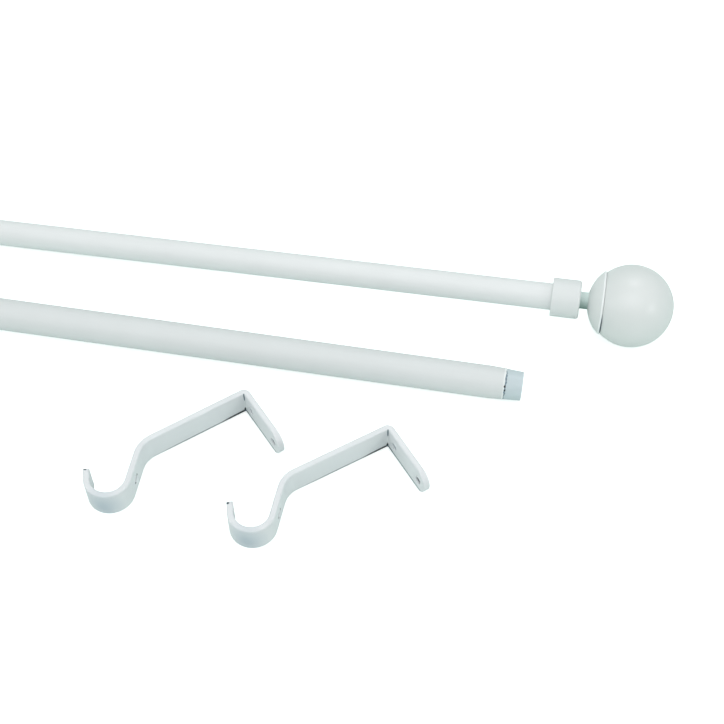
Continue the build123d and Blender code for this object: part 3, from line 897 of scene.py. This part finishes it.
# Painted shadow on the lower front of the neck, between collar and cap
under_neck = ((COLLAR_FACE + 2.5, -3.6, -3.0), (8.0, 5.8, 5.8), NECK_SHADOW, 0.2, 1.2)
for side, rod in rods.items():
    cap_paint = painted(side + "_cap_paint", PLASTIC_PAINT, rod, streaks=0.0,
                        wear_and_light_spots=(rim_shine, seam_shade))
    ball_paint = painted(side + "_ball_paint", BALL_PAINT, rod, BALL_ROUGHNESS, streaks=0.0,
                         wear_and_light_spots=(seam_shade,), gloss=BALL_GLOSS)
    collar_paint = painted(side + "_collar_paint", COLLAR_PAINT, rod, 0.45, streaks=0.02)
    neck_paint = painted(side + "_neck_paint", NECK_PAINT, rod, 0.5, streaks=0.0,
                         wear_and_light_spots=(under_neck,))
    for piece, outline, closed, material, body in (
        ("ball", ball_outline(), False, ball_paint, "_knob"),
        ("base_cap", cap_outline(), True, cap_paint, "_knob"),
        ("neck", neck_outline(), True, neck_paint, "_finial"),
        ("collar", collar_outline(), True, collar_paint, "_finial"),
    ):
        shell = make_surface(side + "_turned_" + piece, turned(outline, rod), closed, material,
                             side + body)
        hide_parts(side + "_" + piece)

# Brackets; x runs out from the wall, y down it, z across the strip
face = STRIP_THICKNESS
edge = STRIP_WIDTH / 2
crease = face + 0.15
for number in (1, 2):
    name = f"bracket_{number}"
    out = -np.array(mounts[name + "_screws"]["axis"])
    down = np.array((-out[1], out[0], 0.0))
    middle = np.array(mounts[name + "_screws"]["pos_m"])
    corner = middle - down * np.mean(SCREW_DROPS) * MM
    strip = (corner, out, down, np.array((0.0, 0.0, 1.0)))
    tip_x, tip_y = TIP_CHIPS[number]
    wear_and_light_spots = [
        # Inner corner: painted shade in its crease, at the top and at the foot
        ((crease, crease, edge - 3.1), (0.42, 0.42, 3.6), DARK_PAINTED_SHADE, 0.35, 0.2),
        ((crease, crease, 1.8 - edge), (0.7, 0.7, 2.6), DEEP_PAINTED_SHADE, 0.35, 0.5),
        # Painted shade along the arm's lower edge, where it lies on the floor, darker by the corner
        ((0.45 * ARM_LENGTH, face, 0.5 - edge), (0.50 * ARM_LENGTH, 0.8, 1.0),
         LOWER_EDGE, 0.2, 0.5),
        ((8.0, face, 0.75 - edge), (11.0, 0.85, 1.65), DEEP_PAINTED_SHADE, 0.3, 0.5),
        # Painted shade along the flange's lower edge, where it lies on the floor, darker by the corner
        ((face, 0.5 * FLANGE_LENGTH, 0.9 - edge), (0.9, 0.60 * FLANGE_LENGTH, 1.4),
         FLANGE_EDGE, 0.2, 0.5),
        ((face, 5.0, 0.9 - edge), (0.9, 7.0, 1.5), DARK_PAINTED_SHADE, 0.3, 0.9),
        # Bare steel at the hook's tip, and painted shade on the front of its bowl
        ((tip_x, tip_y, edge - 0.6), (0.85, 0.85, 0.9), BARE_STEEL, 0.4, 0.35),
        ((*BOWL_FRONT, -1.5), (7.0, 7.0, 9.0), BOWL_SHADE, 0.3, 1.5),
    ]
    # Painted shade on the walls of the two screw holes
    wall = (face / 2 + 0.10, SCREW_HOLE_RADIUS + 0.30, SCREW_HOLE_RADIUS + 0.30)
    wear_and_light_spots += [((face / 2, drop, 0.0), wall, shade, 0.1, 0.2)
              for drop, shade in zip(SCREW_DROPS, HOLE_WALLS)]
    # Painted shade: dark spots above and below the clamp hole
    wear_and_light_spots += [(spot, (0.9, 0.9, 0.85), DEEP_PAINTED_SHADE, 0.3, 0.6) for spot in CLAMP_HOLE_SHADE_SPOTS]
    paint = painted(name + "_paint", BRACKET_PAINT, strip, patches=0.10, wear_and_light_spots=wear_and_light_spots,
                    edge_width=1.0)
    dress(name, paint)
    for count, drop in enumerate(SCREW_DROPS, 1):
        spot = in_place((STRIP_THICKNESS, drop, 0), strip)
        hole_bead(f"{name}_screw_hole_{count}_bead", spot, out, SCREW_HOLE_RADIUS, paint)
    clamp = np.array(mounts[name + "_clamp_hole"]["pos_m"])
    across = np.array(mounts[name + "_clamp_hole"]["axis"])
    for label, way in (("inner", -1), ("outer", 1)):
        spot = clamp + way * across * STRIP_THICKNESS / 2 * MM
        hole_bead(f"{name}_clamp_hole_{label}_bead", spot, way * across, CLAMP_HOLE_RADIUS, paint)
